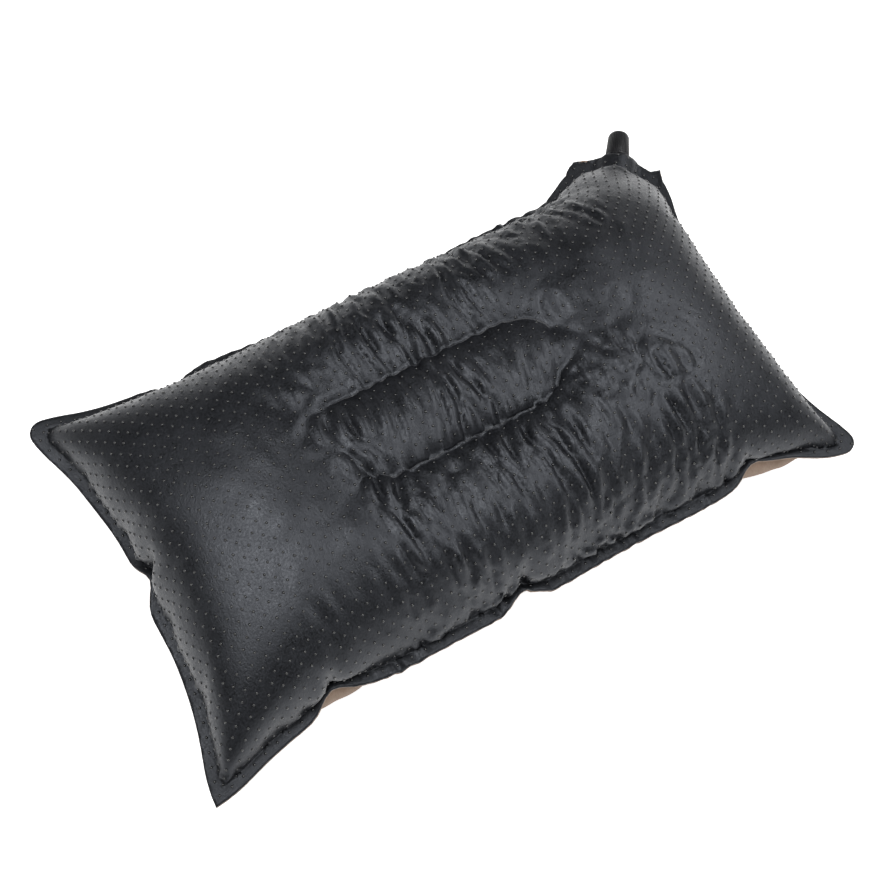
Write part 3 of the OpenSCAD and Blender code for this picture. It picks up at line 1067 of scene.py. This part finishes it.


# Open-cell polyurethane foam: matt, cream, pitted with cells of about 1 mm. Each pit is painted darker
# towards its bottom, a painted shade.
def openFoam():
    finish, tree, shader = newFinish("open-cell polyurethane foam", IOR=1.45)
    place = addNode(tree, "TexCoord").outputs["Object"]
    cells = addNode(tree, "TexVoronoi", {"Vector": place, "Scale": 1 / 0.0012}, feature="F1")
    cells = cells.outputs["Distance"]
    rough = addNode(tree, "MapRange", {"Value": cells, "From Min": 0, "From Max": 0.6,
                                       "To Min": 0.98, "To Max": 0.85})
    bump = addNode(tree, "Bump", {"Height": cells, "Distance": 0.0006, "Strength": 0.8})
    # darker cream where the bump is lowest: painted shade at the bottom of each cell
    setInputs(tree, shader, {"Base Color": twoTones(tree, cells, "#c3b27f", "#e0d4a8", 0.05, 0.6),
                             "Roughness": rough, "Normal": bump})
    return finish


# Moulded plastic and rubber of the valve: a fine spark-eroded grain of about 0.5 mm, half matt.
def mouldedPlastic(name, dark, pale, low, high):
    finish, tree, shader = newFinish(name, IOR=1.53)
    place = addNode(tree, "TexCoord").outputs["Object"]
    grain = addNode(tree, "TexNoise", {"Vector": place, "Scale": 1 / 0.0005, "Detail": 3, "Roughness": 0.6})
    wear = addNode(tree, "TexNoise", {"Vector": place, "Scale": 1 / 0.006, "Detail": 3, "Roughness": 0.6})
    grainRough = addNode(tree, "MapRange", {"Value": grain, "From Min": 0.3, "From Max": 0.7,
                                            "To Min": low, "To Max": high})
    wearRough = addNode(tree, "MapRange", {"Value": wear, "From Min": 0.3, "From Max": 0.7,
                                           "To Min": -0.04, "To Max": 0.05})
    rough = addNode(tree, "Math", {0: grainRough, 1: wearRough}, operation="ADD")
    bump = addNode(tree, "Bump", {"Height": grain, "Distance": 0.00004, "Strength": 0.5})
    setInputs(tree, shader, {"Base Color": twoTones(tree, wear, dark, pale), "Roughness": rough,
                             "Normal": bump})
    return finish


finishes = {
    "upper": peachSkin(),
    "upperEdge": cutEdge("cut edge of black laminate", "#232427", "#3a3b3f"),
    "lower": suede(),
    "lowerEdge": cutEdge("cut edge of beige laminate", "#b5a291", "#cbbaa9"),
    "dots": gripRubber(),
    "seam": pressedLine(),
    "foam": openFoam(),
    "cap": mouldedPlastic("moulded ABS, spark-grained", "#161618", "#232326", 0.34, 0.46),
    "neck": mouldedPlastic("moulded ABS, polished tool", "#1b1b1e", "#28282b", 0.22, 0.32),
    "boat": mouldedPlastic("moulded soft polyurethane", "#17181a", "#242527", 0.42, 0.56),
    "rubber": mouldedPlastic("nitrile rubber", "#0c0c0d", "#171718", 0.5, 0.66),
}


def finishWith(piece, *names):
    piece.data.materials.clear()
    for name in names:
        piece.data.materials.append(finishes[name])


# camera, light and floor
view = {
    "lens": 58.7,
    "sensor": 36,
    "right": (0.8534, -0.5197, 0.0389),
    "ahead": (0.2570, 0.3548, -0.8989),
    "place": (-0.2413, -0.3240, 0.8827),
}

studio = {
    "left": 8.0,        # watts of each softbox
    "right": 4.5,
    "front": 4.5,
    "world": 0.12,      # soft light from all round
    "walls": (0.05, 0.30),    # height at which the white walls end and the plain ceiling begins
    "paper": 0.85,      # how brightly the paper is seen
    "floor": 6,
}


def addCamera():
    camera = bpy.data.objects.new("camera", bpy.data.cameras.new("camera"))
    bpy.context.scene.collection.objects.link(camera)
    bpy.context.scene.camera = camera
    camera.data.lens, camera.data.sensor_width = view["lens"], view["sensor"]
    ahead = Vector(view["ahead"]).normalized()
    down = ahead.cross(Vector(view["right"]).normalized()).normalized()
    ways = (down.cross(ahead), -down, -ahead, Vector(view["place"]))
    camera.matrix_world = Matrix([[way[k] for way in ways] for k in range(3)] + [[0, 0, 0, 1]])


def addLamp(name, place, size, power, aim=(0, 0, 0.05)):
    lamp = bpy.data.lights.new(name, "AREA")
    lamp.energy, lamp.size = power, size
    piece = bpy.data.objects.new(name, lamp)
    piece.location = place
    piece.rotation_euler = (Vector(aim) - Vector(place)).to_track_quat("-Z", "Y").to_euler()
    bpy.context.scene.collection.objects.link(piece)


def directRays(tree, reflected=1.0):
    # 1 for the rays that show the white surroundings: from the camera, off a gloss or through a clear part
    rays = addNode(tree, "LightPath").outputs
    seen = addNode(tree, "Math", {0: rays["Is Glossy Ray"], 1: rays["Is Transmission Ray"]},
                   operation="MAXIMUM")
    seen = addNode(tree, "Math", {0: seen, 1: reflected}, operation="MULTIPLY")
    return addNode(tree, "Math", {0: seen, 1: rays["Is Camera Ray"]}, operation="MAXIMUM")


def addWorld():
    # white walls round the sweep, and a plain ceiling over it
    world = bpy.data.worlds.new("studio")
    bpy.context.scene.world = world
    world.use_nodes = True
    tree = world.node_tree
    low, high = studio["walls"]
    height = addNode(tree, "SeparateXYZ", {0: addNode(tree, "TexCoord").outputs["Generated"]}).outputs["Z"]
    walls = addNode(tree, "MapRange", {"Value": height, "From Min": low, "From Max": high,
                                       "To Min": 1, "To Max": 0})
    level = addNode(tree, "MapRange", {"Value": directRays(tree, walls),
                                       "To Min": studio["world"], "To Max": 1.0})
    setInputs(tree, tree.nodes["Background"], {"Strength": level, "Color": (1, 1, 1, 1)})


def addFloor():
    bpy.ops.object.select_all(action="DESELECT")
    bpy.ops.mesh.primitive_plane_add(size=studio["floor"], location=(0, 0, 0))
    floor = bpy.context.active_object
    floor.name = "floor"
    paper, tree, shader = newFinish("matt white paper sweep", Roughness=0.9)
    place = addNode(tree, "TexCoord").outputs["Object"]
    fibre = addNode(tree, "TexNoise", {"Vector": place, "Scale": 1 / 0.004, "Detail": 3, "Roughness": 0.6})
    glow = addNode(tree, "Math", {0: directRays(tree), 1: studio["paper"]}, operation="MULTIPLY")
    setInputs(tree, shader, {"Base Color": twoTones(tree, fibre, "#f1f1f0", "#f7f7f6"),
                             "Emission Color": (1, 1, 1, 1), "Emission Strength": glow})
    floor.data.materials.append(paper)


bpy.context.scene.view_settings.view_transform = "Standard"
addCamera()
addLamp("left softbox", (-0.45, 0.00, 1.20), 0.7, studio["left"])
addLamp("right softbox", (0.80, 0.02, 0.98), 0.6, studio["right"])
addLamp("front softbox", (0.42, -0.55, 1.12), 0.6, studio["front"])
addWorld()
addFloor()
print("studio set")

# putting it together
flat, tris, airy, top, bottom = shapeCovers()
top, bottom = layDown(flat, tris, airy, top, bottom)
print("laid on the frame")

upper = makeCover("upper_cover", flat, tris, top, True)
finishWith(upper, "upper", "upperEdge")
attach(upper, "pillow")
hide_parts("top_cover")

lower = makeCover("lower_cover", flat, tris, bottom, False)
finishWith(lower, "lower", "lowerEdge")
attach(lower, "pillow")
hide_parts("bottom_cover")
print("covers made")

lift = liftFrom(flat, tris, top, covers["thickness"])
gripDots = makeDots("grip_dots", flat, lift)
finishWith(gripDots, "dots")
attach(gripDots, "pillow")

seamBead = makeBead("oval_seam", lift)
finishWith(seamBead, "seam")
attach(seamBead, "pillow")

core = makeFoam("foam_block", flat, tris, airy, top, bottom)
finishWith(core, "foam")
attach(core, "pillow")
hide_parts("foam_core")
print("foam, seam and dots made")

screwCap = makeCap("screw_cap")
finishWith(screwCap, "cap")
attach(screwCap, "cap")
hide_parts("valve_cap")

for node, finish in {"valve_boat": "boat", "valve_neck": "neck", "valve_plug": "neck", "stop_ring": "neck",
                     "neck_ring": "rubber", "plug_ring": "rubber", "cap_seal": "rubber"}.items():
    finishWith(frame["nodes"][node], finish)
print("valve made")
